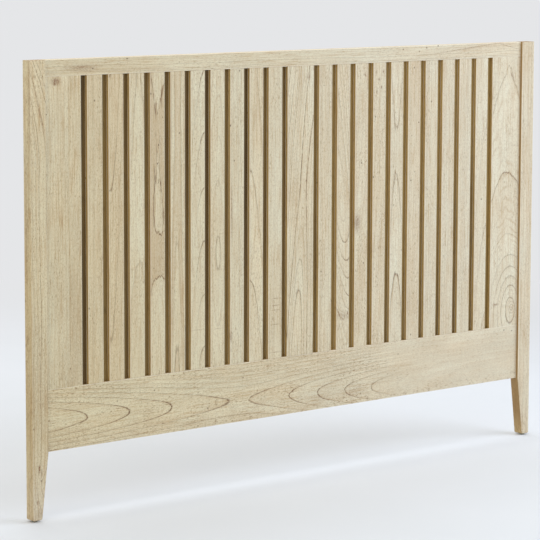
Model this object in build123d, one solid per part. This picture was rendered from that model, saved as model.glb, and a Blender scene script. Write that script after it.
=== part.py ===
from build123d import *
import os
from math import floor

# A slatted wooden headboard on two tapered legs, which stands on the floor against a wall.
# Everything is in millimetres. +X is to the right seen from the front, the front faces -Y
# and +Z is up. The origin is on the floor, under the middle of the legs' depth.

# Sizes of the whole headboard
overall_width = 1650.0
overall_height = 1100.0
floor_gap = 165.0  # from the floor to the underside of the bottom rail

# Sizes of the legs
leg_width = 44.0
leg_proud = 8.0  # how far a leg stands in front of the panel
foot_width = 25.0  # width of the tapered leg where it ends
foot_chamfer = 2.5

# Sizes of the panel from front to back
slat_thickness = 10.0  # also the front lip of the rails and stiles
board_thickness = 9.0
board_recess = 3.0  # how far the back board lies inside the frame

# Sizes of the rails and stiles
top_rail_height = 40.0
bottom_rail_height = 150.0
stile_width = 105.0

# Sizes of the slats
slat_width = 43.5
groove_width = 18.0

# Softened edges
arris_radius = 1.0  # on long edges that a hand meets
joint_ease = 0.5  # on the tops of the legs, and on the rails where slats and stiles meet them

# Joints of the frame: stub tenons on the rails and stiles, and a tongue along each stile
tenon_length = 18.0
tenon_thickness = 8.0
tenon_shoulder = 8.0  # beside each end of a tenon or tongue
tongue_depth = 10.0  # how far a stile's tongue enters its leg
glue_clearance = 0.1  # beside each face of a tenon or tongue
mortise_spare = 1.0  # depth of the mortise past the tenon

# Back board and its screws
board_lap = 12.0  # how far the board reaches behind the rails and stiles
board_clearance = 0.3
screw_head_diameter = 7.0
screw_shank_diameter = 3.5
screw_length = 16.0
screw_tip_length = 3.0
screw_clearance = 0.1
rail_screw_count = 2
stile_screw_count = 1

# Glides under the feet
glide_diameter = 15.0
glide_height = 4.0
glide_flat_diameter = 9.5  # the part that touches the floor
glide_turn_height = 2.4  # where the rounded underside meets the upright edge
glide_turn_share = 0.3  # how far along the rounding its middle corner lies
nail_diameter = 2.0
nail_root = 2.0  # how deep the nail sits in the glide
nail_length = 20.0
nail_tip_length = 3.0
nail_clearance = 0.1

overrun = 5.0  # how far a cut reaches past the faces that it opens

# Places from front to back
panel_thickness = slat_thickness + board_thickness + board_recess
leg_depth = leg_proud + panel_thickness
leg_front = -leg_depth / 2
leg_back = leg_depth / 2
panel_front = leg_front + leg_proud
slat_back = panel_front + slat_thickness
board_back = slat_back + board_thickness
panel_middle = (panel_front + leg_back) / 2

# Places from the floor up
leg_bottom = glide_height
opening_bottom = floor_gap + bottom_rail_height
opening_top = overall_height - top_rail_height

# Places across the width, for the left half
leg_outside = -overall_width / 2
leg_inside = leg_outside + leg_width
stile_inside = leg_inside + stile_width
foot_middle = leg_outside + foot_width / 2

# The slats share the opening between the stiles: as many narrow ones as fit on each side,
# and a wider one in the middle that takes up what is left.
opening_width = -2 * stile_inside
slat_pitch = slat_width + groove_width
middle_room = opening_width - 2 * groove_width
slats_each_side = floor((middle_room - slat_width) / (2 * slat_pitch))
centre_slat_width = middle_room - 2 * slats_each_side * slat_pitch


# Helpers

def box_between(low, high):
    """Make a box from its lowest and its highest corner."""
    sides = [end - start for start, end in zip(low, high)]
    return Pos(*low) * Box(*sides, align=(Align.MIN, Align.MIN, Align.MIN))


def on_both_sides(left_shapes):
    """Return the shapes of the left half, then their mirror images on the right."""
    return left_shapes + [mirror(shape, about=Plane.YZ) for shape in left_shapes]


def evenly_spaced(start, end, count):
    """Return the middles of equal shares of the way from start to end."""
    step = (end - start) / count
    return [start + step * (place + 0.5) for place in range(count)]


def turned(outline):
    """Spin an outline of (radius, height) points round the Z axis."""
    face = make_face(Polyline(*outline, close=True))
    return revolve(Plane.XZ * face, Axis.Z)


def group(shapes):
    """Join loose solids into one node without fusing them."""
    return Compound(children=[solid for shape in shapes for solid in shape.solids()])


# Joints of the frame

def joint_box(low, high, away, slack):
    """A tenon between two corners, or with slack the mortise that takes it.

    away names the axis and the direction in which the tenon enters the other piece.
    """
    axis, direction = away
    low = [place - slack for place in low]
    high = [place + slack for place in high]
    spare = mortise_spare if slack else 0
    if direction < 0:
        low[axis] -= spare
        high[axis] -= slack
    else:
        low[axis] += slack
        high[axis] += spare
    return box_between(low, high)


def leg_joint(bottom, top, depth, slack=0):
    """What a rail or stile, from bottom to top, puts depth deep into the left leg."""
    half = tenon_thickness / 2
    low = (leg_inside - depth, panel_middle - half, bottom + tenon_shoulder)
    high = (leg_inside, panel_middle + half, top - tenon_shoulder)
    return joint_box(low, high, (0, -1), slack)


def stile_tenon(height, direction, slack=0):
    """The tenon on the left stile's end at this height, clear of the back board."""
    half = tenon_thickness / 2
    left = leg_inside + tenon_shoulder
    right = stile_inside - board_lap - tenon_shoulder
    ends = sorted((height, height + direction * tenon_length))
    low = (left, panel_middle - half, ends[0])
    high = (right, panel_middle + half, ends[1])
    return joint_box(low, high, (2, direction), slack)


# Legs

def left_leg():
    """A leg, straight outside, that tapers on its inside from the panel to the foot."""
    outline = make_face(Polyline(
        (leg_outside, leg_bottom),
        (leg_outside, overall_height),
        (leg_inside, overall_height),
        (leg_inside, floor_gap),
        (leg_outside + foot_width, leg_bottom),
        close=True,
    ))
    leg = extrude(Plane.XZ * outline, leg_depth / 2, both=True)
    leg = chamfer(leg.faces().sort_by(Axis.Z)[0].edges(), foot_chamfer)
    long_edges = [edge for edge in leg.edges() if edge.length > leg_width + leg_depth]
    leg = fillet(long_edges, arris_radius)
    leg = chamfer(leg.faces().sort_by(Axis.Z)[-1].edges(), joint_ease)
    leg -= leg_joint(opening_top, overall_height, tenon_length, glue_clearance)
    leg -= leg_joint(opening_bottom, opening_top, tongue_depth, glue_clearance)
    leg -= leg_joint(floor_gap, opening_bottom, tenon_length, glue_clearance)
    return leg - Pos(foot_middle, 0, 0) * turned(nail_outline(nail_clearance))


# Frame of the panel

def board_pocket(slack):
    """The rebate behind the lip, as large as the back board and its clearance."""
    reach = board_lap + slack
    low = (stile_inside - reach, slat_back, opening_bottom - reach)
    high = (-stile_inside + reach, leg_back + overrun, opening_top + reach)
    return box_between(low, high)


def rail(bottom, top, outer_face, joint_face):
    """A rail between the legs, rounded on its free edges and eased along its joint face."""
    bar = box_between((leg_inside, panel_front, bottom), (-leg_inside, leg_back, top))
    along = bar.edges().filter_by(Axis.X)
    free_edges = [edge for edge in along if abs(edge.center().Z - outer_face) < joint_ease]
    bar = fillet(free_edges, arris_radius)
    along = bar.edges().filter_by(Axis.X).sort_by(Axis.Y)
    joint_edges = [edge for edge in along if abs(edge.center().Z - joint_face) < joint_ease]
    bar = chamfer(joint_edges[0], joint_ease)
    for tenon in on_both_sides([leg_joint(bottom, top, tenon_length)]):
        bar += tenon
    into_rail = 1 if outer_face > joint_face else -1
    for mortise in on_both_sides([stile_tenon(joint_face, into_rail, glue_clearance)]):
        bar -= mortise
    return drilled_for_screws(bar - board_pocket(board_clearance))


def left_stile():
    """The wide upright beside the left leg, with a rounded edge towards the first groove."""
    low = (leg_inside, panel_front, opening_bottom)
    stile = box_between(low, (stile_inside, leg_back, opening_top))
    front_edges = stile.edges().filter_by(Axis.Z).group_by(Axis.Y)[0]
    stile = fillet(front_edges.sort_by(Axis.X)[-1], arris_radius)
    stile += leg_joint(opening_bottom, opening_top, tongue_depth)
    stile += stile_tenon(opening_top, 1)
    stile += stile_tenon(opening_bottom, -1)
    return drilled_for_screws(stile - board_pocket(board_clearance))


# Slats

def slat(left_side, width):
    """An upright slat, its two front edges rounded, that starts at left_side."""
    low = (left_side, panel_front, opening_bottom)
    bar = box_between(low, (left_side + width, slat_back, opening_top))
    front_edges = bar.edges().filter_by(Axis.Z).group_by(Axis.Y)[0]
    return fillet(front_edges, arris_radius)


def left_slat(place):
    """The narrow slat at this place, counted from the left stile."""
    return slat(stile_inside + groove_width + place * slat_pitch, slat_width)


# Back board and its screws

def screw_outline(slack):
    """Half the outline of a countersunk screw that points to +Z, its head at zero."""
    head = screw_head_diameter / 2 + slack
    shank = screw_shank_diameter / 2 + slack
    tip = screw_length + slack
    return [(0, 0), (head, 0), (shank, head - shank), (shank, tip - screw_tip_length), (0, tip)]


def screw_places():
    """Places round the edge of the board, on its back, each pointing to the front."""
    inset = board_lap / 2
    side = stile_inside - inset
    across = evenly_spaced(side, -side, rail_screw_count)
    upright = evenly_spaced(opening_bottom, opening_top, stile_screw_count)
    points = [(x, opening_bottom - inset) for x in across]
    points += [(x, opening_top + inset) for x in across]
    points += [(x, z) for x in (side, -side) for z in upright]
    return [Pos(x, board_back, z) * Rot(90, 0, 0) for x, z in points]


def drilled_for_screws(piece):
    """Take the room of the screws, and the way that leads to them, out of a piece."""
    room = turned(screw_outline(screw_clearance))
    for place in screw_places():
        piece -= place * room
    return piece


def back_board():
    """The board behind the slats, which lies in the rebate of the frame."""
    low = (stile_inside - board_lap, slat_back, opening_bottom - board_lap)
    high = (-stile_inside + board_lap, board_back, opening_top + board_lap)
    return drilled_for_screws(box_between(low, high))


def board_screws():
    """The screws that hold the board in its rebate."""
    screw = turned(screw_outline(0))
    return group([place * screw for place in screw_places()])


# Glides

def nail_outline(slack):
    """Half the outline of the nail that stands in a glide and points up into the leg."""
    radius = nail_diameter / 2 + slack
    root = glide_height - nail_root - slack
    tip = root + nail_length + 2 * slack
    return [(0, root), (radius, root), (radius, tip - nail_tip_length), (0, tip)]


def glide_outline():
    """Half the outline of a plastic glide, flat above and rounded off below."""
    flat = glide_flat_diameter / 2
    edge = glide_diameter / 2
    turn_radius = edge - (edge - flat) * glide_turn_share
    turn_height = glide_turn_height * glide_turn_share
    return [
        (0, 0), (flat, 0), (turn_radius, turn_height), (edge, glide_turn_height),
        (edge, glide_height), (0, glide_height),
    ]


def left_glide():
    """The glide under the left foot."""
    blank = turned(glide_outline()) - turned(nail_outline(nail_clearance))
    return Pos(foot_middle, 0, 0) * blank


def left_nail():
    """The nail that holds the left glide."""
    return Pos(foot_middle, 0, 0) * turned(nail_outline(0))


# All the pieces, by the name of their node

def all_pieces():
    """Return each node's name with its shape."""
    pieces = {}
    pieces["left_leg"], pieces["right_leg"] = on_both_sides([left_leg()])
    pieces["top_rail"] = rail(opening_top, overall_height, overall_height, opening_top)
    pieces["bottom_rail"] = rail(floor_gap, opening_bottom, floor_gap, opening_bottom)
    pieces["left_stile"], pieces["right_stile"] = on_both_sides([left_stile()])
    for place in range(slats_each_side):
        left, right = on_both_sides([left_slat(place)])
        pieces[f"left_slat_{place + 1:02d}"] = left
        pieces[f"right_slat_{place + 1:02d}"] = right
    pieces["centre_slat"] = slat(-centre_slat_width / 2, centre_slat_width)
    pieces["back_board"] = back_board()
    pieces["board_screws"] = board_screws()
    pieces["left_glide"], pieces["right_glide"] = on_both_sides([left_glide()])
    pieces["glide_nails"] = group(on_both_sides([left_nail()]))
    return pieces


os.makedirs("parts", exist_ok=True)
for node_name, shape in all_pieces().items():
    export_step(shape, f"parts/{node_name}.step")
print("narrow slats on each side:", slats_each_side)
print("width of the centre slat:", centre_slat_width)
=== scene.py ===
# %% [markdown]
# # A limed wooden headboard
#
# The headboard is a frame of pale wood: two legs with tapered feet, a rail above and a rail
# below, a wide stile beside each leg, and a row of slats over a brown back board. Its shapes
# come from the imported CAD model, so this lesson is about its finish. Every board gets wood
# whose growth rings run through it in three dimensions, because then the grain of the face,
# the side and the end of a board fit together, as they do when a board is sawn from a log.

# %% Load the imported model
import math
from dataclasses import dataclass, field
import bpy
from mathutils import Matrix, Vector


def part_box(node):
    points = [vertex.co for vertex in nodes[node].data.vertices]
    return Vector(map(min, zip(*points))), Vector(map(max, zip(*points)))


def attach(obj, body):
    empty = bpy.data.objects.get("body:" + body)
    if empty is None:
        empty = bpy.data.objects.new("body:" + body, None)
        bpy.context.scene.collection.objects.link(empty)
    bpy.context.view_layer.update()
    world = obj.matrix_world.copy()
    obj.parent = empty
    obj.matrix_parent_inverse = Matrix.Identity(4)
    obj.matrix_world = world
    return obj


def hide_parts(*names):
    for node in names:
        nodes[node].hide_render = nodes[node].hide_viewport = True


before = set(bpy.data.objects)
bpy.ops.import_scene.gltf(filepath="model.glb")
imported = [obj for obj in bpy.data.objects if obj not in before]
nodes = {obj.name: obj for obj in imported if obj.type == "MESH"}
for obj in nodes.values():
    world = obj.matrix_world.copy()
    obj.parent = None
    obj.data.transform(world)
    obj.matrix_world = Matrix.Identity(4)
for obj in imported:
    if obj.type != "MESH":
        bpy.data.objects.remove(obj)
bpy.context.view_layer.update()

from types import SimpleNamespace

import bmesh
import bpy
from mathutils import Matrix, Vector

print("pieces in the frame:", len(nodes))

# %% [markdown]
# ## The camera
#
# The picture was taken from the left of the headboard, a little above its middle, with a long
# lens. The camera is placed by its position, and by how far it is turned to the right and
# tipped down. Its view is shifted rather than tipped further, because a shift leaves upright
# edges upright.

# %% Place the camera
camera_place = Vector((-3.8858, -4.7173, 1.4040))
camera_turn = 0.67698  # radians to the right of straight ahead
camera_tip = 0.11627  # radians below the horizon
camera_roll = 0.00279
sensor_width = 36.0  # in millimetres, as the lens is
picture_width = 540.0  # in pixels, as the focal length and the shift are
focal_length = 2400.786
view_shift = -60.0
farthest_seen = 100.0

camera_data = bpy.data.cameras.new("camera")
camera_data.sensor_width = sensor_width
camera_data.lens = focal_length / picture_width * sensor_width
camera_data.shift_y = view_shift / picture_width
camera_data.clip_end = farthest_seen
camera = bpy.data.objects.new("camera", camera_data)
bpy.context.scene.collection.objects.link(camera)
camera.matrix_world = (
    Matrix.Translation(camera_place)
    @ Matrix.Rotation(-camera_turn, 4, "Z")
    @ Matrix.Rotation(math.pi / 2 - camera_tip, 4, "X")
    @ Matrix.Rotation(camera_roll, 4, "Z")
)
bpy.context.scene.camera = camera
bpy.context.scene.view_settings.view_transform = "Standard"
print("lens in millimetres:", round(camera_data.lens, 1))

# %% [markdown]
# ## Writing node trees as sums
#
# A finish is made of many small sums on numbers that vary over the surface. Clicking or
# listing dozens of Math nodes hides what they mean, so a small class wraps a socket and lets
# Python's own signs add the nodes. Everything else, in materials and in Geometry Nodes alike,
# comes from one method that takes the node's type, its settings and its sockets.

# %% A number that sums can be written on


def find_socket(sockets, name):
    """Return the socket in use that has this name or this number."""
    if isinstance(name, int):
        return sockets[name]
    return next(socket for socket in sockets if socket.name == name and socket.enabled)


class Number:
    """A socket that carries a number, on which sums can be written."""

    def __init__(self, maker, socket):
        self.maker = maker
        self.socket = socket

    def math(self, operation, *others):
        sockets = dict(enumerate((self, *others)))
        return self.maker.number("ShaderNodeMath", {"operation": operation}, sockets)

    def __add__(self, other):
        return self.math("ADD", other)

    def __sub__(self, other):
        return self.math("SUBTRACT", other)

    def __mul__(self, other):
        return self.math("MULTIPLY", other)

    def __truediv__(self, other):
        return self.math("DIVIDE", other)

    def __pow__(self, other):
        return self.math("POWER", other)

    def __radd__(self, other):
        return self.math("ADD", other)

    def __rmul__(self, other):
        return self.math("MULTIPLY", other)

    def __rsub__(self, other):
        return self.maker.number("ShaderNodeMath", {"operation": "SUBTRACT"}, {0: other, 1: self})

    def __rtruediv__(self, other):
        return self.maker.number("ShaderNodeMath", {"operation": "DIVIDE"}, {0: other, 1: self})

    def __abs__(self):
        return self.math("ABSOLUTE")

    def between(self, low, high):
        """Rise smoothly from 0 at low to 1 at high."""
        sockets = {"Value": self, "From Min": low, "From Max": high, "To Min": 0, "To Max": 1}
        settings = {"interpolation_type": "SMOOTHSTEP"}
        return self.maker.number("ShaderNodeMapRange", settings, sockets)


print("a socket now takes Python's signs")

# %% A maker of nodes


class Maker:
    """Adds nodes to one tree."""

    def __init__(self, tree):
        self.tree = tree
        tree.nodes.clear()

    def node(self, kind, settings=None, sockets=None):
        """Add a node: its settings first, then the values or links of its sockets."""
        node = self.tree.nodes.new(kind)
        for name, value in (settings or {}).items():
            setattr(node, name, value)
        for name, value in (sockets or {}).items():
            socket = find_socket(node.inputs, name)
            source = value.socket if isinstance(value, Number) else value
            if isinstance(source, bpy.types.NodeSocket):
                self.tree.links.new(source, socket)
            else:
                socket.default_value = source
        return node

    def number(self, kind, settings=None, sockets=None):
        """Add a node and return its first output as a number for sums."""
        return Number(self, self.node(kind, settings, sockets).outputs[0])

    def mix(self, share, first, second):
        """Go from one colour to another as share goes from 0 to 1."""
        settings = {"data_type": "RGBA", "clamp_factor": True}
        node = self.node("ShaderNodeMix", settings, {"Factor": share, "A": first, "B": second})
        return find_socket(node.outputs, "Result")

    def layers(self, ground, *layers):
        """Lay colours over a ground, each where and as strongly as its share says."""
        for share, laid_on in layers:
            ground = self.mix(share, ground, laid_on)
        return ground

    def scale(self, shade, factor):
        """Make a colour lighter or darker by a factor."""
        sockets = {"Vector": shade, "Scale": factor}
        return self.node("ShaderNodeVectorMath", {"operation": "SCALE"}, sockets).outputs[0]

    def stretch(self, place, factors):
        """Multiply a place by one factor for each axis."""
        sockets = {0: place, 1: factors}
        return self.node("ShaderNodeVectorMath", {"operation": "MULTIPLY"}, sockets).outputs[0]

    def vector(self, x, y, z):
        """Join three numbers into a vector."""
        return self.node("ShaderNodeCombineXYZ", None, {"X": x, "Y": y, "Z": z}).outputs[0]

    def axes(self, vector):
        """The three numbers of a vector."""
        node = self.node("ShaderNodeSeparateXYZ", None, {"Vector": vector})
        return [Number(self, node.outputs[axis]) for axis in "XYZ"]

    def place(self):
        """The place on the piece, in metres."""
        return self.node("ShaderNodeTexCoord").outputs["Object"]

    def noise(self, place, detail=2.0, roughness=0.5):
        """Soft noise, from 0 to 1, at a place measured in grains of the noise."""
        sockets = {"Vector": place, "Scale": 1.0, "Detail": detail, "Roughness": roughness}
        return self.number("ShaderNodeTexNoise", {"noise_dimensions": "3D"}, sockets)

    def chance(self, value, seed):
        """A number from 0 to 1 that jumps with each whole step of value."""
        place = self.vector(value, seed, 0)
        return self.number("ShaderNodeTexWhiteNoise", {"noise_dimensions": "3D"}, {"Vector": place})

    def surface(self, base, roughness, height, relief_strength, relief_height, all_over):
        """Close a material: its colour, roughness and relief, and what is the same all over."""
        relief = self.node("ShaderNodeBump", None, {
            "Strength": relief_strength, "Distance": relief_height, "Height": height,
        })
        surface = self.node("ShaderNodeBsdfPrincipled", None, {
            "Base Color": base, "Roughness": roughness, "Normal": relief.outputs["Normal"],
            **all_over,
        })
        self.node("ShaderNodeOutputMaterial", None, {"Surface": surface.outputs[0]})


print("a maker adds nodes, colours and surfaces")

# %% Groups, materials and colours


def new_group(name, kind, inputs, outputs):
    """A node group with named inputs and outputs: its maker, and its inputs as numbers."""
    tree = bpy.data.node_groups.new(name, kind)
    for label, socket_type in outputs.items():
        tree.interface.new_socket(label, in_out="OUTPUT", socket_type=socket_type)
    for label, value in inputs.items():
        socket_type = "NodeSocketInt" if isinstance(value, int) else "NodeSocketFloat"
        tree.interface.new_socket(label, in_out="INPUT", socket_type=socket_type)
    maker = Maker(tree)
    given = maker.node("NodeGroupInput")
    return maker, {label: Number(maker, given.outputs[label]) for label in inputs}


def new_material(name):
    """A material with an empty tree, and the maker for it."""
    material = bpy.data.materials.new(name)
    material.use_nodes = True
    return material, Maker(material.node_tree)


def colour(red, green, blue):
    """A colour from its screen values, from 0 to 255, as nodes need it."""
    screen = [value / 255 for value in (red, green, blue)]
    linear = [value / 12.92 if value < 0.04045 else ((value + 0.055) / 1.055) ** 2.4
              for value in screen]
    return (*linear, 1.0)


print("middle grey as nodes need it:", round(colour(128, 128, 128)[0], 3))

# %% [markdown]
# ## Floor, background and light
#
# The floor is plain and pale, and further away it fades into the background, so no edge
# shows. The fade is seen by the camera only, so the floor still lights the wood from below.
# There are four wide soft lamps. A cool one stands at the right in front, as a window would.
# A weaker warm one at the left keeps the outer side of the left leg readable. One lights the
# back, and one hangs overhead. The colours then show about as written.

# %% Make the background
background_colour = colour(229, 230, 232)
world_strength = 0.57


def seen_directly(maker):
    """1 for rays from the camera, and for reflected and refracted ones, else 0."""
    path = maker.node("ShaderNodeLightPath")
    seen = Number(maker, path.outputs["Is Camera Ray"])
    seen = seen.math("MAXIMUM", Number(maker, path.outputs["Is Glossy Ray"]))
    return seen.math("MAXIMUM", Number(maker, path.outputs["Is Transmission Ray"]))


world = bpy.data.worlds.new("studio")
bpy.context.scene.world = world
world.use_nodes = True
sky = Maker(world.node_tree)
soft = sky.node("ShaderNodeBackground", None, {"Color": (1, 1, 1, 1), "Strength": world_strength})
seen = sky.node("ShaderNodeBackground", None, {"Color": background_colour, "Strength": 1.0})
choice = sky.node(
    "ShaderNodeMixShader", None, {0: seen_directly(sky), 1: soft.outputs[0], 2: seen.outputs[0]}
)
sky.node("ShaderNodeOutputWorld", None, {"Surface": choice.outputs[0]})
print("the world lights the wood with a strength of", world_strength)

# %% Make the floor
floor_colour = colour(220, 222, 224)
floor_cloud_colour = colour(227, 228, 231)
floor_radius = 14.0
floor_corner_count = 96
floor_clouds = 1.7  # in each metre
fade_start = 1.3
fade_end = 3.6


def floor_finish():
    """A smooth pale floor that fades into the background."""
    material, maker = new_material("pale_floor")
    x, y = maker.axes(maker.place())[:2]
    cloud = maker.noise(maker.vector(x * floor_clouds, y * floor_clouds, 0), detail=3.0)
    base = maker.mix(cloud, floor_colour, floor_cloud_colour)
    near = maker.node(
        "ShaderNodeBsdfPrincipled", None,
        {"Base Color": base, "Roughness": 0.9, "Specular IOR Level": 0.1},
    )
    far = maker.node("ShaderNodeEmission", None, {"Color": background_colour, "Strength": 1.0})
    share = ((x * x + y * y) ** 0.5).between(fade_start, fade_end) * seen_directly(maker)
    sockets = {0: share, 1: near.outputs[0], 2: far.outputs[0]}
    mixed = maker.node("ShaderNodeMixShader", None, sockets)
    maker.node("ShaderNodeOutputMaterial", None, {"Surface": mixed.outputs[0]})
    return material


floor_mesh = bpy.data.meshes.new("floor")
disc = bmesh.new()
bmesh.ops.create_circle(disc, cap_ends=True, radius=floor_radius, segments=floor_corner_count)
disc.to_mesh(floor_mesh)
disc.free()
floor = bpy.data.objects.new("floor", floor_mesh)
bpy.context.scene.collection.objects.link(floor)
floor.data.materials.append(floor_finish())
print("floor radius in metres:", floor_radius)

# %% Place the lamps
front_middle = (0.0, 0.0, 0.55)
behind_foot = (0.0, 0.3, 0.2)
behind_middle = (0.0, 0.3, 0.0)

# For each lamp: its place, what it is turned to, width, height, watts and tint
lamps = {
    "right_window": ((2.1, -2.2, 1.8), front_middle, 2.8, 2.4, 63.0, (0.76, 0.85, 1.0)),
    "left_fill": ((-3.8, -1.4, 1.4), front_middle, 2.5, 2.5, 26.5, (1.0, 0.89, 0.6)),
    "back_fill": ((0.4, 3.4, 2.4), behind_foot, 3.0, 2.0, 30.0, (0.94, 0.97, 1.0)),
    "overhead": ((0.0, 0.3, 3.6), behind_middle, 4.0, 3.0, 62.0, (0.92, 0.97, 1.0)),
}


def soft_lamp(name, place, aim, width, height, power, tint):
    """A wide lamp at a place, turned towards a point."""
    lamp = bpy.data.lights.new(name, "AREA")
    lamp.shape = "RECTANGLE"
    lamp.size = width
    lamp.size_y = height
    lamp.energy = power
    lamp.color = tint
    holder = bpy.data.objects.new(name, lamp)
    holder.location = place
    holder.rotation_euler = (Vector(aim) - Vector(place)).to_track_quat("-Z", "Y").to_euler()
    holder.visible_camera = False
    bpy.context.scene.collection.objects.link(holder)
    print("lamp", name, "gives", power, "watts")


for name, lamp in lamps.items():
    soft_lamp(name, *lamp)

# %% [markdown]
# ## How the rings of a board are written
#
# Sawn through the rings beside the heart of the log, a board shows nested arches, and sawn
# further out it shows nearly straight lines. Both come from one rule: the distance to the
# heart, counted in rings. The heart leans away on both sides of one place, the turn, so the
# arches point away from there. A board is described by where that turn is, how far apart the
# points of the arches are and how wide they open, because these can be read off a real board.

# %% Describe boards


@dataclass
class Mark:
    """A knot, streak or stain, by its place on the face. Lengths are in metres."""

    across: float
    along: float
    size: float  # how far it reaches across the grain
    stretch: float = 1.0  # how much longer it is along the grain
    slant: float = 0.0  # how far it leans across the grain for each metre along it
    darkness: float = 0.8
    swell: float = 0.0  # how many rings bend round it
    reach: float = 2.5  # how far they bend, in sizes
    whorls: float = 0.0  # how many rings of its own it shows in each size
    on_side: bool = False  # whether it lies on a side face, so that across means depth


@dataclass
class Board:
    """How one board was sawn and how it looks. Lengths are in metres."""

    turn: float = 0.7  # place along the board where the arches change direction
    closed: bool = False  # whether the arches close round the turn or open away from it
    first_point: float = 0.1  # from the turn to the first arch's point
    neck: float = 0.0  # how far the first ring is from closing at the turn, in rings
    point_gap: float = 0.15  # between the points further on
    spread: float = 0.02  # half the width of an arch, one point gap behind its point
    ring: float = 0.003  # width of a ring
    side: float = 0.25  # from the board's middle to the line of the points
    drift: float = 0.0  # how far that line slants, in metres for each metre
    upper_stretch: float = 1.0  # how much further apart the points are above the turn
    bend_from: float = 0.9  # place along the board from where its grain bends away
    bend: float = 0.0  # how fast it bends, in metres for each metre squared
    sway: float = 0.006  # how far the grain wanders
    line: float = 0.5  # how dark the ring lines are
    fade: float = 0.6  # how much of a line is gone at the sides of its arch
    band: float = 0.4  # how brown the wood is before each line
    weak: float = 0.15  # how clearly the weak rings between the lines show
    calm_from: float = 10.0  # place along the board from where its lines fade away
    two_tone: float = 0.12  # how much browner every second ring is
    ragged: float = 0.006  # how torn the arches' edges are, in rings
    steady: float = 0.5  # how alike in darkness the lines are
    luck: int = 0  # picks which of them are dark
    warmth: float = 0.5  # from greenish pale, 0, to pinkish brown, 1
    pores: float = 1.0  # how many open pores it shows
    specks: float = 0.3  # how many dark specks it shows
    fibrous: float = 0.25  # how many brown fibres it shows
    patchy: float = 0.15  # how much lighter and darker its patches are
    ripple: float = 0.0  # how strongly it shimmers across the grain
    side_lime: float = 0.0  # how much lime its side faces hold
    lime_rise: float = 0.0  # how much more they hold for each metre above half height
    arris_paleness: float = 1.0  # how much paler its arrises are, rubbed and with a painted highlight
    pale_top: float = 0.0  # how much paler it gets for each metre towards its top
    left_side_shade: float = 0.0  # how much painted shade darkens its left side face, for the narrow corner beside the next board
    dirty_foot: float = 0.0001  # how high dirt reaches up from its lower end
    dirty_edge: float = 0.0001  # how far dirt reaches in from its lower edge
    seam: float = 10.0  # where a second strip is glued on, from the board's middle
    seam_warmth: float = 0.4  # how much warmer that strip is
    marks: list = field(default_factory=list)


def wood_values(board, limits, seed):
    """What the wood group is told about one board, as numbers."""
    values = {name: float(value) for name, value in vars(board).items() if name != "marks"}
    start = math.sqrt(1 + (board.first_point / board.point_gap) ** 2) - 1 - board.neck
    values.update(
        heart=board.spread ** 2 / (2 * board.ring),
        direction=1.0 if board.closed else -1.0,
        start=start,
        **limits,
        shift=13.7 * seed,
        seed=float(seed),
        ring_seed=float(seed + board.luck),
    )
    return values


print("a board has", len(Board.__dataclass_fields__), "values")

# %% [markdown]
# ## Limed wood
#
# The wood was bleached and rubbed with white wax, so its ground is pale and matt, and only
# the open pores along the ring lines stay brown. The finish is built in that order: ground
# tone, rings, ring lines broken up by fibres, pores, knots, and last the arrises, where hands
# and the sander left it paler and a painted highlight makes them paler still. All of it reads
# the place inside the board, so the pattern stays with the wood when the view changes.
#
# Twenty-seven copies of such a large tree would be slow to build, so all boards share one
# node group, whose inputs say what differs from board to board. Its many soft noises differ
# only in how fine they are, so they are listed once, by what they are for.

# %% Colours of the wood
pale_ground = colour(216, 210, 187)
warm_ground = colour(210, 195, 167)
# the tint of the painted warm light on the left end
painted_warm_light_colour = colour(216, 204, 131)
summer_band = colour(178, 150, 112)
less_limed = colour(196, 168, 108)
# brown of streaks on side faces, and of the painted shade on a left side face
side_brown = colour(140, 106, 60)
thread_brown = colour(166, 132, 86)
line_brown = colour(100, 62, 24)
pore_brown = colour(82, 54, 26)
mark_brown = colour(116, 68, 28)
fleck_brown = colour(132, 98, 56)
# pale of rubbed arrises, which also stands for a painted highlight where they catch the light
pale_arris_and_highlight = colour(242, 234, 214)
end_grain = colour(150, 118, 76)
print("ground of the wood, as nodes need it:", [round(part, 3) for part in pale_ground[:3]])

# %% Sizes on the wood
millimetre = 0.001
line_width = 2.8 * millimetre
band_width = 9.0 * millimetre
# how far the pale arrises, rubbed and with a painted highlight, reach in
pale_arris_width = 1.8 * millimetre
skin_depth = 0.6 * millimetre
lime_depth = 2.2 * millimetre
# across a board from its middle, over which the painted shade on its left side face comes in
corner_shade_depth = 10.0 * millimetre
joint_line = 0.9 * millimetre
seam_width = 0.7 * millimetre
end_start = 0.2 * millimetre
end_depth = 0.5 * millimetre
bump_height = 0.4 * millimetre
calm_length = 0.2
pale_from = 0.86  # height from where a pale top starts
lime_from = 0.55  # height from where a side face holds more lime
strip_shift = 0.4  # how far away in the log a glued strip was cut
speck_across = 110.0  # cells in a metre across the grain, each of which may hold a speck
speck_along = 80.0
print("side faces hold less lime from this depth, in metres:", lime_depth)

# %% Rings and specks

# Lengths across the rings, in rings
wobble_reach = 0.2  # how far a soft noise pushes the rings about
fine_wobble_reach = 0.08
widest_line = 0.32  # of a ring's dark line
widest_band = 0.8  # of the brown band before it
weak_ring_count = 6.0  # weak rings in each strong one
weak_wobble_reach = 1.6  # how far a soft noise pushes the weak ones about, in weak rings

# Specks, in cells
speck_core = 0.10  # how far out a speck is fully dark
speck_edge = 0.30
speck_chance = 0.03  # share of the cells that hold one, on a board with specks of 1
cell_steps = 97.0  # whole steps over which the cells' own numbers are spread

# What each seed decides by chance
dark_seed = 0.5  # which ring lines are dark
tone_seed = 7.5  # how brown the band before each is
speck_seed = 3.5  # which cells hold a speck
print("share of the cells that hold a speck, on a board with specks of 1:", speck_chance)

# %% How strong each layer is

# How much of each is gone where a board's lines have faded away
calm_loss = SimpleNamespace(grain=0.75, band=0.8, ripple=0.6, pores=0.6)

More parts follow.
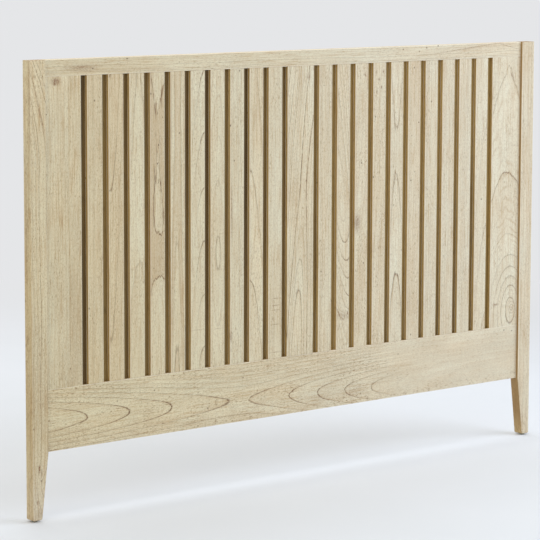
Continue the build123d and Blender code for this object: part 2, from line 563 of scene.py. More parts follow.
# How strongly each layer of the finish covers what lies under it, from 0 to 1
cover = SimpleNamespace(
    streak=0.35, side_streak=0.45, thread=0.55, mottle=0.36, fine_pore=0.24, pore=0.52,
    wear=0.85, speck=0.7, dirt=0.6, seam=0.25, joint=0.35, end_face=0.6,
)
blotch_warmth = 2.2  # how much blotches differ in warmth
thread_light = 0.12  # how much lighter and darker fine threads make the wood
mottle_light = 0.16
brightness = 1.08
wood_shine = 0.35
print("layers of the finish with a strength of their own:", len(vars(cover)))

# %% Patterns of the wood

# Grains in a metre across the grain and along it, and where they differ from the usual,
# how many finer layers the noise has and how strong they are
patterns = {
    "fibre": (520.0, 11.0, 3.0, 0.6),
    "wander": (8.0, 3.0),
    "torn": (150.0, 7.0, 3.0, 0.6),
    "wobble": (24.0, 5.0),
    "fine_wobble": (70.0, 16.0),
    "line_width": (45.0, 12.0),
    "line_break": (600.0, 60.0),
    "band": (90.0, 9.0),
    "weak_wobble": (40.0, 16.0),
    "weak_place": (30.0, 9.0),
    "blotch": (16.0, 3.5, 5.0, 0.65),
    "patch": (20.0, 6.0, 3.0),
    "strand": (170.0, 9.0, 3.0, 0.65),
    "streak": (150.0, 2.6, 3.0, 0.6),
    "cluster": (26.0, 8.0, 3.0),
    "pore": (480.0, 90.0, 2.0, 0.6),
    "fine_pore": (520.0, 210.0, 2.0, 0.6),
    "mottle": (260.0, 110.0, 2.0, 0.6),
    "thread": (330.0, 13.0, 2.0, 0.6),
    "wear": (60.0, 6.0),
    "side_streak": (80.0, 1.6, 4.0, 0.6),
    "flakes": (420.0, 160.0, 3.0, 0.6),
    "smudge": (110.0, 70.0, 4.0, 0.65),
    "ripple": (14.0, 120.0),
}

# From which value of its noise something starts to show, and from which it shows fully
shows = {
    "line_break": (0.34, 0.56),
    "weak_place": (0.42, 0.62),
    "strand": (0.52, 0.70),
    "streak": (0.45, 0.80),
    "cluster": (0.42, 0.62),
    "pore": (0.55, 0.66),
    "fine_pore": (0.50, 0.66),
    "wear": (0.25, 0.48),
    "side_streak": (0.50, 0.72),
    "flakes": (0.42, 0.56),
    "smudge": (0.50, 0.72),
}


def grain_noise(maker, across, depth, along, shift, pattern):
    """Soft noise inside a board, finer across its grain than along it."""
    across_grain, along_grain, *layers = pattern
    place = maker.vector(across * across_grain + shift, depth * across_grain, along * along_grain)
    return maker.noise(place, *layers)


print("noises of the wood:", len(patterns))

# %% [markdown]
# ## Cutting the rings
#
# At every place the distance to the heart gives a ring's number and how far through the ring
# the place is. Rings that lie flat in a face are spread wide there, and their lines would be
# as wide. So it is also worked out how many rings cross a metre of the face, and a line is
# given in metres and turned into rings by that. What is found out is kept under one name,
# here, and later steps add to it.

# %% Where the rings are


def cut_rings(board, here, grain):
    """Find the ring at a place, how far through it that is, and how many cross a metre."""
    # A hyperbola: flat at the turn, and further on one ring for each point gap
    lean = (board.along - board.turn) / board.point_gap
    lean = lean * (lean.math("GREATER_THAN", 0.0) * (1 / board.upper_stretch - 1) + 1)
    stretch = (1 + lean * lean) ** 0.5
    inward = (stretch - 1) * board.direction * board.ring + board.heart - board.depth
    wander = (grain("wander") - 0.5) * 2 * board.sway
    past = (board.along - board.bend_from).math("MAXIMUM", 0.0)
    sideways = here.across - board.side - board.along * board.drift + wander
    sideways = sideways + past * past * board.bend
    distance = (sideways * sideways + inward * inward) ** 0.5
    rings = (distance - board.heart) / board.ring - board.direction * board.start
    torn = (grain("torn") - 0.5) * 4 * board.ragged
    wobble = (grain("wobble") - 0.5) * wobble_reach
    fine_wobble = (grain("fine_wobble") - 0.5) * fine_wobble_reach
    here.rings = rings + torn + wobble + fine_wobble + board.mark_bend
    here.number = here.rings.math("FLOOR")
    here.phase = here.rings.math("FRACT")
    here.near_point = 1 - abs(sideways).between(0.0, board.spread)

    # How many rings are crossed in a metre across the board and in a metre along it
    ring_face = inward / distance
    across_rings = sideways / distance * (1 - here.side_face) + ring_face * here.side_face
    across_rings = across_rings / board.ring
    along_rings = ring_face * lean / stretch / board.point_gap
    crossing = (across_rings * across_rings + along_rings * along_rings) ** 0.5 + 0.5
    here.crossing = crossing.math("MAXIMUM", abs(board.mark_crossing))


def draw_lines(maker, board, here, grain):
    """Draw the ring lines, the brown bands before them and the weak rings between them."""
    dark = maker.chance(here.number, board.ring_seed + dark_seed)
    tone = maker.chance(here.number, board.ring_seed + tone_seed)
    thickness = (here.near_point * 0.9 + 0.55) * (grain("line_width") * 1.4 + 0.4)
    width = (here.crossing * thickness * line_width).math("MINIMUM", widest_line)
    strength = dark * dark * (1 - board.steady) + board.steady
    strength = strength * (1 - (1 - here.near_point) * board.fade) * (1 - here.calm)
    here.broken = grain("line_break") * 0.75 + 0.25
    here.line = (1 - (here.phase / width).between(0.4, 1.0)) * strength * here.broken
    before = (1 - here.phase) / (here.crossing * band_width).math("MINIMUM", widest_band)
    band = 1 - before.between(0.0, 1.0)
    here.band = band * band * (tone * 0.7 + 0.3) * (grain("band") * 0.8 + 0.2)
    weak_wobble = (grain("weak_wobble") - 0.5) * weak_wobble_reach
    weak = (here.rings * weak_ring_count + weak_wobble).math("FRACT")
    here.weak = abs(weak - 0.5).between(0.22, 0.5) * grain("weak_place")
    here.even = 1 - (here.number * 0.5).math("FRACT") * 2  # 1 in every second ring, else 0


print("lines on the wood are at most this many rings wide:", widest_line)

# %% [markdown]
# ## Pores, specks, rubbed arrises and a painted highlight
#
# Pores are short and thin, so they are the peaks of a fine noise that is stretched along the
# grain, and they come in clusters. Specks are rounder and rarer, so each is the middle of a
# cell, and chance says which cells have one. The arrises are rubbed paler and carry a painted
# highlight, and dirt lies on the feet and the lower edge of the bottom rail, because that is
# where hands and brooms touch it.

# %% Find pores, pale arrises with a painted highlight, and dirt


def open_pores(maker, board, here, grain):
    """Open the pores, coarse and fine, and place the specks."""
    here.pore = grain("pore") * (grain("cluster") * 0.8 + 0.2)
    here.fine_pore = grain("fine_pore")
    speck_place = maker.vector(
        here.across * speck_across + board.shift, board.depth * speck_across,
        board.along * speck_along,
    )
    cell = maker.node(
        "ShaderNodeTexVoronoi", {"feature": "F1"}, {"Vector": speck_place, "Scale": 1.0}
    )
    cell_number = Number(maker, cell.outputs["Color"]) * cell_steps
    picked = maker.chance(cell_number, board.seed + speck_seed).math(
        "GREATER_THAN", 1 - board.specks * speck_chance
    )
    from_middle = Number(maker, cell.outputs["Distance"])
    here.speck = (1 - from_middle.between(speck_core, speck_edge)) * picked


def wear_and_dirt(board, here, grain):
    """Rub the arrises paler and paint a highlight on them, and find dirt, joint lines and faces
    that show end grain.
    """
    # pale arrises: rubbed paler, and a painted highlight where they catch the light
    edge = (abs(board.across) - board.half_width + pale_arris_width).between(0.0, pale_arris_width)
    here.wear = edge * (1 - here.side_face) * grain("wear")
    foot = 1 - (board.along - board.lower_end).between(0.0, board.dirty_foot)
    lower_edge = 1 - (board.half_width - board.across).between(0.0, board.dirty_edge)
    here.dirt = foot.math("MAXIMUM", lower_edge) * grain("smudge")
    from_end = (board.along - board.lower_end).math("MINIMUM", board.upper_end - board.along)
    here.end_face = 1 - from_end.between(end_start, end_depth)
    here.joint = (1 - from_end.between(joint_line * 0.5, joint_line)) * here.broken
    here.seam = 1 - abs(board.across - board.seam).between(0.0, seam_width)


print("specks are looked for in cells this many metres wide:", round(1 / speck_across, 4))

# %% [markdown]
# ## Colours laid over each other
#
# Each layer is a colour and a share from 0 to 1, and it covers what was laid before. Soft
# tones of the wood itself come first, and with them a painted warm light on the left end and
# painted shade on the right leg's left side face, in its narrow corner beside the stile. Then
# patches make all of it lighter or darker. Pores, lines, rubbed arrises, dirt and stains come
# last, because they lie on the surface, and the arrises carry a painted highlight as well.

# %% Build the wood group


def wood_colour(maker, board, here, grain):
    """Lay the colours of the wood over each other, painted light and shade among them."""
    strand = grain("strand") * here.blotch.between(0.44, 0.60)
    side_streak = grain("side_streak") * here.side_face
    # painted shade: the left side face darker brown, as in the narrow corner beside the next board
    left_corner_shade = here.side_face * (0 - board.across).between(0.0, corner_shade_depth)
    lime_rise = (board.along - lime_from).math("MAXIMUM", 0.0) * board.lime_rise
    mottle = grain("mottle") - 0.5
    thread = grain("thread") - 0.5
    grainy = 1 - here.calm * calm_loss.grain
    warmth = here.second * board.seam_warmth + board.warmth
    shade = maker.layers(
        maker.mix((here.blotch - 0.5) * blotch_warmth + warmth, pale_ground, warm_ground),
        # painted warm light, which tints the left end yellower
        (board.yellow, painted_warm_light_colour),
        (here.side_face * (1 - (lime_rise + board.side_lime)), less_limed),
        (here.even * (here.fibre * 0.8 + 0.2) * board.two_tone, summer_band),
        (here.band * board.band * (1 - here.calm * calm_loss.band), summer_band),
        (grain("streak") * grainy * cover.streak, summer_band),
        (here.weak * board.weak * grainy, thread_brown),
        (strand * board.fibrous, thread_brown),
        (side_streak * cover.side_streak, side_brown),
        (left_corner_shade * board.left_side_shade, side_brown),
        (thread.between(-0.04, 0.26) * grainy * cover.thread, thread_brown),
        (mottle.between(-0.02, 0.26) * cover.mottle, thread_brown),
    )
    patch = (grain("patch") - 0.5) * board.patchy
    ripple = (grain("ripple") - 0.5) * board.ripple * (1 - here.calm * calm_loss.ripple)
    pale_top = (board.along - pale_from).math("MAXIMUM", 0.0) * board.pale_top
    light = mottle * mottle_light + thread * thread_light + patch + ripple + pale_top
    pores = board.pores * (1 - here.calm * calm_loss.pores)
    flakes = grain("flakes") * 0.65 + 0.35
    return maker.layers(
        maker.scale(shade, light + brightness),
        (here.fine_pore * pores * cover.fine_pore, fleck_brown),
        (here.pore * pores * cover.pore, fleck_brown),
        (here.line * board.line, line_brown),
        # rubbed arrises with a painted highlight
        (here.wear * board.arris_paleness * cover.wear, pale_arris_and_highlight),
        (here.speck * cover.speck, pore_brown),
        (here.dirt * cover.dirt, fleck_brown),
        (board.mark_dark * flakes, mark_brown),
        (here.seam * cover.seam, fleck_brown),
        (here.joint * cover.joint, fleck_brown),
        (here.end_face * cover.end_face, end_grain),
    )


def wood_group():
    """The group that all boards share. Its inputs are what differs from board to board."""
    labels = ["across", "depth", "along", "yellow", "mark_dark", "mark_bend", "mark_crossing"]
    labels += ["half_width", "thickness", "lower_end", "upper_end"]
    labels += list(wood_values(Board(), {}, 0))
    outputs = {"Colour": "NodeSocketColor", "Roughness": "NodeSocketFloat",
               "Height": "NodeSocketFloat"}
    maker, given = new_group("limed_wood", "ShaderNodeTree", dict.fromkeys(labels, 0.0), outputs)
    board = SimpleNamespace(**given)
    here = SimpleNamespace()
    here.second = board.across.math("GREATER_THAN", board.seam)  # whether it is the glued strip
    here.across = board.across + here.second * strip_shift
    here.side_face = board.depth.between(skin_depth, lime_depth) * (
        (board.thickness - board.depth).between(skin_depth, lime_depth)
    )
    here.calm = board.along.between(board.calm_from, board.calm_from + calm_length)

    def grain(name):
        noise = grain_noise(
            maker, here.across, board.depth, board.along, board.shift, patterns[name]
        )
        return noise.between(*shows[name]) if name in shows else noise

    cut_rings(board, here, grain)
    draw_lines(maker, board, here, grain)
    open_pores(maker, board, here, grain)
    wear_and_dirt(board, here, grain)
    here.fibre = grain("fibre")
    here.blotch = grain("blotch")
    height = (here.fibre - 0.5) * 0.5 + here.blotch * 0.6 - here.line * 0.7
    maker.node("NodeGroupOutput", None, {
        "Colour": wood_colour(maker, board, here, grain),
        "Roughness": (here.blotch - 0.5) * 0.2 + here.line * 0.15 - here.wear * 0.1 + 0.62,
        "Height": height - here.pore * 0.5 - here.speck * 0.8,
    })
    return maker.tree


shared_wood = wood_group()
print("nodes in the wood group:", len(shared_wood.nodes))

# %% [markdown]
# ## One board's own material
#
# A board's material reads the place on the piece and turns it into a place in the board, so
# that a rail, which lies down, is described as a stile that stands. It adds the board's knots
# and stains, gives all of it to the shared group, and joins what comes out in one surface.
# The left end of the headboard is painted warmer and yellower, as warm light falling on it makes
# it, so that depends on the place too.

# %% Give one board its wood
# Painted warm light: the left end is tinted yellower, as warm light falling there makes it
strongest_painted_warm_light = 0.2
warm_light_fullest_at = -0.9  # across the headboard, where the painted warm light is strongest
warm_light_gone_at = 0.7  # across the headboard, where there is none of it
warm_light_full_above = 0.25  # height above which it is as strong as it gets
warm_light_at_floor = 1.2  # how much of that there would be at the floor
warm_light_loss = 0.4  # how much less there is for each metre up
wax_across = 9.0  # clouds of wax in a metre
wax_along = 6.0


def board_place(maker, node_name, runs_along):
    """The place inside a board, and where the board's faces and ends are."""
    low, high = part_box(node_name)
    middle = (low + high) / 2
    size = high - low
    upright = runs_along == "Z"
    turned = maker.node(
        "ShaderNodeMapping", {"vector_type": "POINT"},
        {
            "Vector": maker.place(),
            "Location": (-middle.x if upright else middle.z, -low.y, 0),
            "Rotation": (0, 0 if upright else -math.pi / 2, 0),
        },
    )
    across, depth, along = maker.axes(turned.outputs[0])
    return SimpleNamespace(
        across=across,
        depth=depth,
        along=along,
        height=along if upright else middle.z - across,
        from_middle=across + middle.x if upright else along,
        limits=dict(
            half_width=(size.x if upright else size.z) / 2,
            thickness=size.y,
            lower_end=low.z if upright else low.x,
            upper_end=high.z if upright else high.x,
        ),
    )


def near_mark(mark, place):
    """How dark a mark is at a place, how many rings it bends the wood's rings by, and how many
    more rings cross each metre there."""
    lengthways = place.along - mark.along
    sideways = (place.depth if mark.on_side else place.across) - mark.across
    sideways = (sideways - lengthways * mark.slant) * (1 / mark.size)
    lengthways = lengthways * (1 / (mark.size * mark.stretch))
    distance = (sideways * sideways + lengthways * lengthways) ** 0.5
    dark = (0 - distance * distance).math("EXPONENT") * mark.darkness
    if mark.whorls:
        whorl = abs((distance * mark.whorls).math("FRACT") - 0.5)
        dark = dark * whorl.between(0.2, 0.5)
    if mark.on_side:
        dark = dark * place.depth.between(0.0, lime_depth)
    if not mark.swell:
        return dark, 0.0, 0.0
    share = distance * (1 / mark.reach)
    bent = (0 - share * share).math("EXPONENT") * mark.swell
    return dark, bent, bent * share * (2 / (mark.reach * mark.size * mark.stretch ** 0.5))


def limed_wood(node_name, runs_along, board, seed):
    """The finish of one board, with rings cut as the board describes."""
    material, maker = new_material(f"limed_wood_{node_name}")
    place = board_place(maker, node_name, runs_along)
    yellow = 1 - place.from_middle.between(warm_light_fullest_at, warm_light_gone_at)
    yellow = yellow * (warm_light_at_floor - place.height * warm_light_loss)
    yellow = yellow * place.height.between(0.0, warm_light_full_above) * strongest_painted_warm_light
    mark_dark = mark_bend = mark_crossing = 0.0
    for mark in board.marks:
        dark, bent, bent_crossing = near_mark(mark, place)
        mark_dark = dark.math("MAXIMUM", mark_dark)
        if mark.swell:
            mark_bend = bent + mark_bend
            mark_crossing = bent_crossing + mark_crossing
    wood = maker.node(
        "ShaderNodeGroup", {"node_tree": shared_wood},
        {"across": place.across, "depth": place.depth, "along": place.along, "yellow": yellow,
         "mark_dark": mark_dark, "mark_bend": mark_bend, "mark_crossing": mark_crossing,
         **wood_values(board, place.limits, seed)},
    )
    wax = maker.noise(
        maker.vector(place.across * wax_across, place.depth, place.along * wax_along), detail=3.0
    )
    roughness = Number(maker, wood.outputs["Roughness"]) + (wax - 0.5) * 0.1
    maker.surface(
        wood.outputs["Colour"], roughness, wood.outputs["Height"],
        relief_strength=0.5, relief_height=bump_height,
        all_over={"Specular IOR Level": wood_shine},
    )
    return material


print("a board can be finished")

# %% [markdown]
# ## The boards of this headboard
#
# Which piece shows arches and which shows straight lines was read off the real one. The
# values are those of a sawyer: where the arches turn, how far apart their points are. A mark
# is a place across the board, a place along it and a size, and what makes it special.

# %% The boards
straight = dict(side=0.24, ring=0.0035, line=0.6, fade=0.2, band=0.5, steady=0.08)

boards = {
    "left_leg": Board(
        side=0.24, ring=0.010, bend=0.8, bend_from=0.84, sway=0.012, line=1.0, fade=0.1,
        steady=0.1, band=0.5, warmth=0.55, pores=1.3, fibrous=0.5, side_lime=0.68,
        lime_rise=1.0, arris_paleness=0.15, pale_top=0.4, dirty_foot=0.09,
        marks=[
            Mark(0.0, 0.33, 0.06, stretch=2.8, darkness=0.24),
            Mark(0.002, 0.985, 0.0018, stretch=38, slant=-0.24, darkness=0.55),
            Mark(-0.010, 0.93, 0.0015, stretch=40, slant=-0.15, darkness=0.4),
            Mark(0.012, 0.955, 0.0015, stretch=20, slant=-0.3, darkness=0.5),
            Mark(-0.004, 0.1295, 0.0034, stretch=3.0, darkness=1.0),
            Mark(0.002, 0.118, 0.0022, stretch=5, darkness=0.8),
            Mark(0.004, 0.085, 0.016, stretch=1.6, darkness=0.0, swell=-2.2, reach=1.6),
            Mark(-0.004, 0.020, 0.008, stretch=1.5, darkness=0.4),
            Mark(-0.010, 0.048, 0.0026, stretch=2, darkness=0.8),
            Mark(0.003, 1.02, 0.005, stretch=24, darkness=0.5, on_side=True),
            Mark(0.013, 1.003, 0.0016, stretch=1.6, on_side=True),
            Mark(0.020, 0.66, 0.005, stretch=30, darkness=0.4, on_side=True),
            Mark(0.018, 0.44, 0.008, stretch=1.6, darkness=0.6, on_side=True),
            Mark(0.016, 0.352, 0.008, stretch=1.2, darkness=0.5, on_side=True),
            Mark(0.020, 0.255, 0.007, stretch=2.0, darkness=0.4, on_side=True),
        ],
    ),
    "right_leg": Board(
        **straight, warmth=0.5, fibrous=0.4, side_lime=0.3, left_side_shade=0.75, dirty_foot=0.15,
    ),
    "top_rail": Board(
        **straight, warmth=0.35, specks=0.8, pores=0.8, side_lime=0.5,
        marks=[
            Mark(0.002, -0.675, 0.007, stretch=5.5, darkness=0.55),
            Mark(-0.009, 0.59, 0.0012, stretch=100, slant=-0.095, darkness=0.6),
            Mark(-0.009, 0.737, 0.0012, stretch=30, slant=0.24, darkness=0.6),
        ],
    ),
    "bottom_rail": Board(
        turn=-0.1935, first_point=0.2155, point_gap=0.12, upper_stretch=0.74, spread=0.0352,
        ring=0.006, side=0.0285, drift=0.039, sway=0.004, line=0.95, fade=0.4, band=0.6,
        steady=0.35, luck=218, warmth=0.5, specks=0.5, pores=1.5, calm_from=0.20, patchy=0.3,
        ripple=0.14, dirty_edge=0.035, side_lime=0.3,
        marks=[
            Mark(0.02, 0.62, 0.12, stretch=3.0, darkness=0.13),
            Mark(0.047, 0.062, 0.016, stretch=3.0, darkness=0.2),
            Mark(0.043, 0.173, 0.014, stretch=4.0, darkness=0.2),
        ],
    ),
    "left_stile": Board(
        side=0.30, ring=0.0042, line=0.45, fade=0.3, band=0.4, warmth=0.45, seam=0.021,
        seam_warmth=0.2, fibrous=0.8, patchy=0.3, pale_top=0.35,
        marks=[
            Mark(0.03, 0.36, 0.045, stretch=5.0, darkness=0.24),
            Mark(0.0235, 0.42, 0.0028, stretch=14, darkness=0.5),
            Mark(-0.0140, 1.0485, 0.011, stretch=0.8, darkness=1.0, swell=0.8),
            Mark(-0.0165, 1.043, 0.005, darkness=1.0),
            Mark(-0.0515, 0.75, 0.0016, stretch=110, darkness=0.5),
            Mark(-0.0505, 0.318, 0.004, stretch=1.5, darkness=0.7),
        ],
    ),
    "right_stile": Board(
        turn=1.07, first_point=0.055, point_gap=0.185, spread=0.107, ring=0.03, side=0.003,
        line=0.8, band=0.3, steady=0.3, luck=3258, weak=0.3, warmth=0.3, patchy=0.2,
        marks=[
            Mark(0.0225, 0.368, 0.02, stretch=1.9, darkness=0.0, swell=-4.5, reach=3.0),
            Mark(0.0255, 0.366, 0.013, stretch=1.4, darkness=0.7, whorls=2.2),
            Mark(-0.036, 0.379, 0.009, stretch=0.3, darkness=1.0),
            Mark(0.0165, 1.0075, 0.0035, stretch=3, slant=-0.4, darkness=0.9),
            Mark(0.051, 0.63, 0.003, stretch=12, slant=-0.1, darkness=0.7),
        ],
    ),
    "centre_slat": Board(
        turn=0.755, first_point=0.0, neck=0.25, point_gap=0.075, upper_stretch=2.6,
        spread=0.018, ring=0.005, side=-0.0265, drift=0.045, bend_from=0.6, bend=-0.12,
        sway=0.004, line=1.0, fade=0.1, band=0.7, steady=0.0, luck=3150, warmth=0.4,
        patchy=0.25,
        marks=[Mark(0.024, 1.032, 0.008, darkness=0.4, swell=0.4)],
    ),
    "left_slat_01": Board(**straight, warmth=0.8),
    "left_slat_02": Board(
        turn=0.33, first_point=0.08, point_gap=0.25, spread=0.03, ring=0.006, side=-0.018,
        line=0.8, warmth=1.0, fibrous=0.6,
        marks=[Mark(0.0, 0.7, 0.08, stretch=6.0, darkness=0.07)],
    ),
    "left_slat_03": Board(
        turn=1.12, first_point=0.065, point_gap=0.30, spread=0.04, ring=0.006, side=0.005,
        line=0.6, warmth=0.45,
    ),
    "left_slat_04": Board(
        turn=0.945, first_point=0.093, point_gap=0.37, upper_stretch=0.3, spread=0.034,
        ring=0.005, side=0.002, line=1.0, band=1.0, two_tone=0.65, ragged=0.12, steady=0.8,
        warmth=0.5,
        marks=[
            Mark(0.0, 0.605, 0.02, stretch=1.5, darkness=0.0, swell=1.2, reach=1.6),
            Mark(0.0, 0.7, 0.08, stretch=6.0, darkness=0.06),
        ],
    ),
    "left_slat_05": Board(
        turn=0.95, first_point=0.32, point_gap=0.23, spread=0.016, ring=0.005, side=-0.002,
        line=0.8, band=0.6, two_tone=0.5, ragged=0.04, steady=0.4, warmth=0.45, fibrous=0.6,
    ),
    "left_slat_06": Board(
        turn=1.2, first_point=0.14, point_gap=0.13, spread=0.036, ring=0.005, side=0.022,
        line=0.8, warmth=0.3,
        marks=[Mark(0.0, 0.414, 0.018, stretch=0.06, darkness=0.4)],
    ),
    "left_slat_07": Board(
        closed=True, turn=0.60, first_point=0.035, point_gap=0.1, spread=0.02, ring=0.004,
        side=0.001, line=0.5, band=0.5, steady=0.3, warmth=0.3,
        marks=[Mark(0.003, 0.411, 0.014, stretch=0.07, darkness=0.4)],
    ),
    "left_slat_08": Board(
        **straight, warmth=0.1, specks=0.6,
        marks=[
            Mark(-0.017, 0.70, 0.002, stretch=32, darkness=0.7),
            Mark(-0.0185, 0.385, 0.003, stretch=4, darkness=0.8),
        ],
    ),
    "left_slat_09": Board(
        turn=1.2, first_point=0.40, point_gap=0.25, spread=0.045, ring=0.006, side=-0.02,
        line=0.8, band=0.7, warmth=0.5, fibrous=0.5, patchy=0.3,
    ),
    "left_slat_10": Board(
        **straight, warmth=0.3, specks=0.5,
        marks=[
            Mark(0.002, place, 0.012, stretch=0.1, darkness=0.6)
            for place in (0.47, 0.452, 0.44, 0.403, 0.331)
        ],
    ),
    "right_slat_10": Board(**straight, warmth=0.35),
    "right_slat_09": Board(
        closed=True, turn=0.69, first_point=0.0375, point_gap=0.045, upper_stretch=4.0,
        spread=0.022, ring=0.004, side=0.066, drift=-0.1, line=0.9, band=0.6, steady=0.1,
        luck=306, warmth=0.35,
        marks=[
            Mark(0.0, 0.405, 0.02, stretch=0.5, darkness=0.3, swell=1.6, reach=1.2),
            Mark(-0.013, 0.409, 0.0024, stretch=6, slant=-0.5, darkness=0.9),
            Mark(-0.002, 0.396, 0.0036, stretch=1.4, slant=-0.9, darkness=0.8),
            Mark(0.005, 0.400, 0.0024, stretch=3, darkness=0.7),
            Mark(0.016, 0.406, 0.0024, stretch=5, slant=0.2, darkness=0.8),
            Mark(-0.013, 0.374, 0.0020, stretch=4, slant=0.4, darkness=0.5),
        ],
    ),
    "right_slat_08": Board(
        turn=1.3, first_point=0.2, point_gap=0.2, spread=0.05, ring=0.005, side=0.05,
        line=0.6, warmth=0.6, pores=1.3,
        marks=[
            Mark(-0.0135, 0.644, 0.009, stretch=2.4, darkness=0.8),
            Mark(0.0105, 1.03, 0.003, stretch=1.5, slant=-0.5),
        ],
    ),
    "right_slat_07": Board(
        turn=1.3, first_point=0.2, point_gap=0.2, spread=0.05, ring=0.005, side=0.06,
        line=0.55, warmth=0.6, specks=1.2, pores=1.3,
        marks=[
            Mark(across, along, 0.0024, stretch=1.8)
            for across, along in (
                (-0.012, 1.035), (0.012, 1.036), (-0.003, 1.016), (-0.010, 0.984), (0.006, 0.995)
            )
        ],
    ),
    "right_slat_06": Board(
        turn=0.827, first_point=0.063, point_gap=0.183, spread=0.0283, ring=0.006, side=-0.001,
        line=1.0, band=0.8, two_tone=0.2, warmth=0.25,
    ),
    "right_slat_05": Board(**straight, warmth=0.6, specks=0.7),
    "right_slat_04": Board(**straight, warmth=0.3),
    "right_slat_03": Board(**straight, warmth=0.45),
    "right_slat_02": Board(**straight, warmth=0.3),
    "right_slat_01": Board(
        turn=1.4, first_point=0.2, point_gap=0.25, spread=0.05, ring=0.005, side=0.03,
        line=0.6, warmth=0.4,
    ),
}

for seed, (node_name, board) in enumerate(boards.items()):
    runs_along = "X" if node_name.endswith("rail") else "Z"
    nodes[node_name].material_slots[0].material = limed_wood(node_name, runs_along, board, seed)
print("boards with limed wood:", len(boards))

# %% [markdown]
# ## The back board
#
# Behind the slats lies a thin board stained brown. It shows at the bottom of the grooves, and
# it is most of what shows from behind. Its veneer was laid in leaves from several places of
# the log and took the stain unevenly, so the grooves differ in tone, as on the real one. Its
# right half is painted lighter, and there lighter towards the top and darker towards the foot,
# as painted light falling into the grooves from the right and from above.

# %% Finish the back board
strip_width = 61.5 * millimetre  # from one groove to the next
leaves_per_metre = 5.5
leaf_shift = 40.0  # how far apart in the log two leaves may have been cut
leaf_seed = 3.5
groove_seed = 821.0
groove_tones = 0.5  # how much the tones of the grooves differ
right_half_painted_light = 0.35  # painted light: how much lighter the right half is
painted_light_level = 0.6  # above it the right half of the board is lighter, and below it darker, as painted light from above
painted_light_left = 0.1
painted_light_right = 0.5
stain_dark = colour(90, 70, 36)
stain_light = colour(156, 129, 74)
stained_pore = colour(58, 42, 26)
veneer_patterns = {
    "blotch": (9.0, 2.0, 3.0),
    "streak": (90.0, 1.8, 4.0, 0.6),
    "pore": (520.0, 40.0, 2.0, 0.6),
}


def stained_board(node_name):
    """A brown stained veneer with upright grain, and painted light on its right half."""
    material, maker = new_material("stained_board")
    place = board_place(maker, node_name, "Z")
    leaf = place.across * leaves_per_metre
    shift = maker.chance(leaf.math("FLOOR"), leaf_seed) * leaf_shift

    def grain(name):
        return grain_noise(
            maker, place.across, place.depth, place.along, shift, veneer_patterns[name]
        )

    blotch = grain("blotch")
    streak = grain("streak")
    pore = grain("pore").between(0.54, 0.70)
    strip = (place.across * (1 / strip_width) + 0.5).math("FLOOR")
    rise = place.across.between(painted_light_left, painted_light_right) * 1.4 - 0.2
    tone = (blotch - 0.5) * 0.8 + (streak - 0.5) * 1.3 + 0.18
    # painted light: the right half lighter
    tone = tone + leaf.math("GREATER_THAN", 0.0) * right_half_painted_light
    tone = tone + maker.chance(strip, groove_seed) * groove_tones
    # painted light from above: the right half lighter towards the top and darker towards the foot
    tone = tone + (place.along - painted_light_level) * rise
    shade = maker.mix(tone, stain_dark, stain_light)
    shade = maker.mix(pore * 0.5, shade, stained_pore)
    maker.surface(
        shade, (blotch - 0.5) * 0.2 + 0.6, streak * 0.4 - pore * 0.6,
        relief_strength=0.4, relief_height=bump_height,
        all_over={"Specular IOR Level": wood_shine},
    )
    return material


nodes["back_board"].material_slots[0].material = stained_board("back_board")
print("back board is stained")

# %% [markdown]
# ## Pieces that follow a rule
#
# Screws are bought by the box, so six of them differ only in how far each was turned. That is
# a rule, and Geometry Nodes write it down once: a tree with named inputs makes the piece, and
# its result is kept as a plain mesh, which stands for the CAD node in the same place.

# %% Helpers for pieces made by a tree
doubles_distance = 0.01 * millimetre


def geometry(node):
    """The socket that carries a node's shape."""
    return next(socket for socket in node.outputs if socket.type == "GEOMETRY")


def joined(maker, nodes_to_join):
    """Join the shapes of several nodes."""
    join = maker.node("GeometryNodeJoinGeometry")
    for node in nodes_to_join:
        maker.tree.links.new(geometry(node), join.inputs[0])
    return join


def moved(maker, node, translation=(0, 0, 0), rotation=(0, 0, 0)):
    """Move and turn the shape of a node."""
    sockets = {"Geometry": geometry(node), "Translation": translation, "Rotation": rotation}
    return maker.node("GeometryNodeTransform", None, sockets)


def merged(maker, node):
    """Merge the corners of a node's shape that lie on each other."""
    sockets = {"Geometry": geometry(node), "Distance": doubles_distance}
    return maker.node("GeometryNodeMergeByDistance", None, sockets)


def close_recipe(maker, node, material):
    """Make instances real, merge doubles, give the material and end the tree."""
    real = maker.node("GeometryNodeRealizeInstances", None, {"Geometry": geometry(node)})
    sockets = {"Geometry": geometry(merged(maker, real)), "Material": material}
    finished = maker.node("GeometryNodeSetMaterial", None, sockets)
    maker.node("NodeGroupOutput", None, {"Geometry": geometry(finished)})


def follow_recipe(maker, name, inputs):
    """Run a tree with these inputs and keep what it makes as a plain mesh."""
    piece = bpy.data.objects.new(name, bpy.data.meshes.new(name))
    bpy.context.scene.collection.objects.link(piece)
    modifier = piece.modifiers.new("recipe", "NODES")
    modifier.node_group = maker.tree
    for item in maker.tree.interface.items_tree:
        if item.in_out == "INPUT":
            modifier[item.identifier] = inputs[item.name]
    evaluated = piece.evaluated_get(bpy.context.evaluated_depsgraph_get())
    made = bpy.data.meshes.new_from_object(evaluated)
    piece.modifiers.remove(modifier)
    piece.data = made
    return piece


def stand_for(piece, node_names):
    """Put a piece in the place of CAD nodes, on the same body."""
    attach(piece, "root")
    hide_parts(*node_names)
    print(piece.name, "has", len(piece.data.polygons), "faces")


print("helpers for pieces are ready")

# %% [markdown]
# ## Screws
#
# Six countersunk screws with a cross recess hold the back board. They are of zinc-plated
# steel, which is a little cloudy and has fine scratches from the driver. Each was driven home
# at its own angle, so a fixed seed turns them. The nails in the glides are of the same steel.

